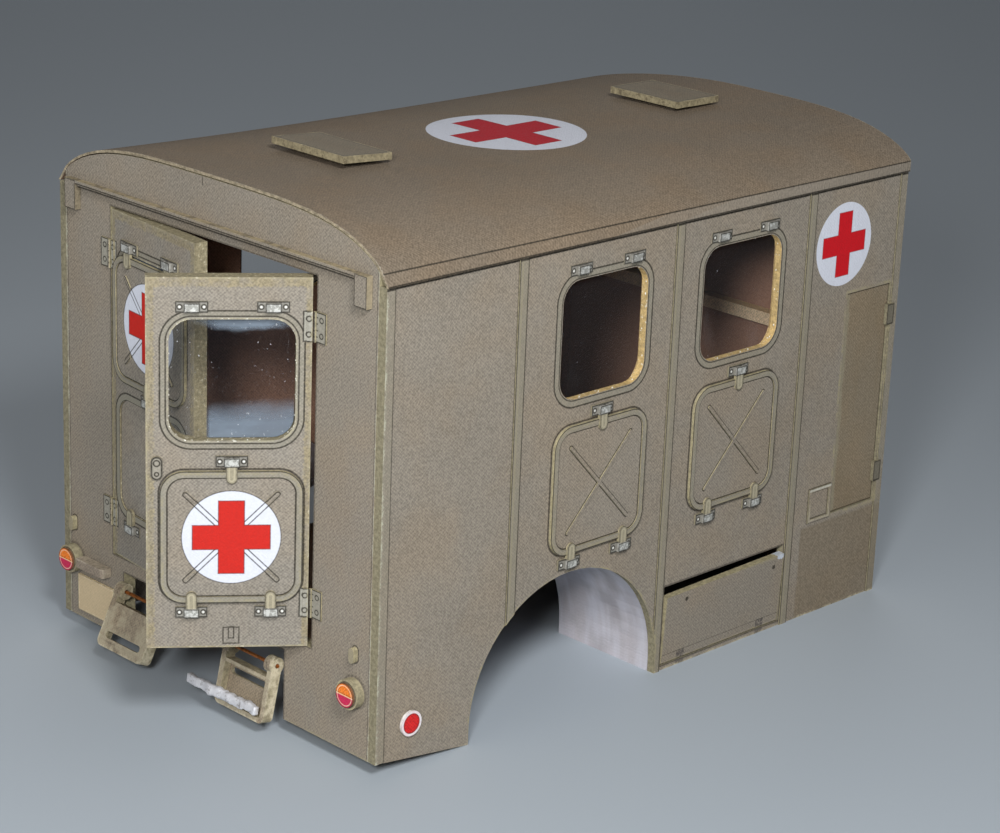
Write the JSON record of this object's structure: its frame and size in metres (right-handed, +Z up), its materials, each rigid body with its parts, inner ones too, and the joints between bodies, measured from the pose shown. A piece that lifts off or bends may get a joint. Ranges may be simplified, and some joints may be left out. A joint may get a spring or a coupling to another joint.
{
  "type": "printed-card scale model of a military ambulance body",
  "caption": "Box body of a light military ambulance as a small card model, with hinged rear doors, locker flaps and folding stirrup steps on a wire.",
  "frame": {"origin": "centre of the bounding box's underside, on the surface the body stands on", "axes": "+X towards the front of the body, +Y to its left, +Z up"},
  "size_m": [0.1226, 0.0704, 0.0767],
  "materials": {
    "olive_card": "matt printed card with a fine weave",
    "roof_card": "matt printed card, browner",
    "raw_card": "unpainted pinkish cream card",
    "grey_card": "pale grey card",
    "clear_film": "clear film",
    "copper": "bare copper wire",
    "silver": "silver-painted card",
    "lens_print": "printed orange and red",
    "lamp_side": "tan card edge",
    "plate_card": "blank cream card"
  },
  "bodies": {
    "body": {"roof_skin": "roof_card", "roof_vent_rear": "roof_card", "roof_vent_front": "roof_card", "side_wall_right": "olive_card", "side_wall_left": "olive_card", "side_lining_right": "raw_card", "side_lining_left": "raw_card", "window_pane_rear_right": "clear_film", "window_pane_front_right": "clear_film", "window_pane_rear_left": "clear_film", "window_pane_front_left": "clear_film", "shutter_rear_right": "olive_card", "shutter_front_right": "olive_card", "shutter_rear_left": "olive_card", "shutter_front_left": "olive_card", "front_hatch_right": "olive_card", "front_hatch_left": "olive_card", "wheel_arch_liner_right": "grey_card", "wheel_arch_liner_left": "grey_card", "rear_wall": "olive_card", "front_wall": "olive_card", "front_brace": "raw_card", "floor_panel": "raw_card", "rain_rail": "olive_card", "tail_lamp_housing_right": "lamp_side", "tail_lamp_housing_left": "lamp_side", "tail_lamp_lens_right": "lens_print", "tail_lamp_lens_left": "lens_print", "side_reflector_right": "lens_print", "side_reflector_left": "lens_print", "number_plate": "plate_card", "plate_lamp_bar": "olive_card", "step_wire": "copper"},
    "right_door": {"door_leaf_right": "olive_card", "door_pane_right": "clear_film", "door_shutter_right": "olive_card"},
    "left_door": {"door_leaf_left": "olive_card", "door_pane_left": "clear_film", "door_shutter_left": "olive_card"},
    "right_step": {"step_right": "olive_card", "step_tread": "silver"},
    "left_step": {"step_left": "olive_card"},
    "right_flap": {"locker_flap_right": "olive_card"},
    "left_flap": {"locker_flap_left": "olive_card"}
  },
  "joints": [
    {"name": "right_door_hinge", "type": "hinge", "parent": "body", "child": "right_door", "pos_m": [-0.04431, -0.0212, 0.0405], "axis": [0, 0, 1], "range_deg": [-52.6, 52.4]},
    {"name": "left_door_hinge", "type": "hinge", "parent": "body", "child": "left_door", "pos_m": [-0.04431, 0.0226, 0.0405], "axis": [0, 0, -1], "range_deg": [-6, 99]},
    {"name": "right_step_swing", "type": "hinge", "parent": "body", "child": "right_step", "pos_m": [-0.04491, -0.01005, 0.0103], "axis": [0, 1, 0], "range_deg": [-12, 50]},
    {"name": "left_step_swing", "type": "hinge", "parent": "body", "child": "left_step", "pos_m": [-0.04491, 0.01455, 0.0103], "axis": [0, 1, 0], "range_deg": [-26, 36]},
    {"name": "right_flap_hinge", "type": "hinge", "parent": "body", "child": "right_flap", "pos_m": [0.02504, -0.0342, 0.001], "axis": [1, 0, 0], "range_deg": [-3, 85]},
    {"name": "left_flap_hinge", "type": "hinge", "parent": "body", "child": "left_flap", "pos_m": [0.02504, 0.0342, 0.001], "axis": [-1, 0, 0], "range_deg": [-3, 85]}
  ]
}
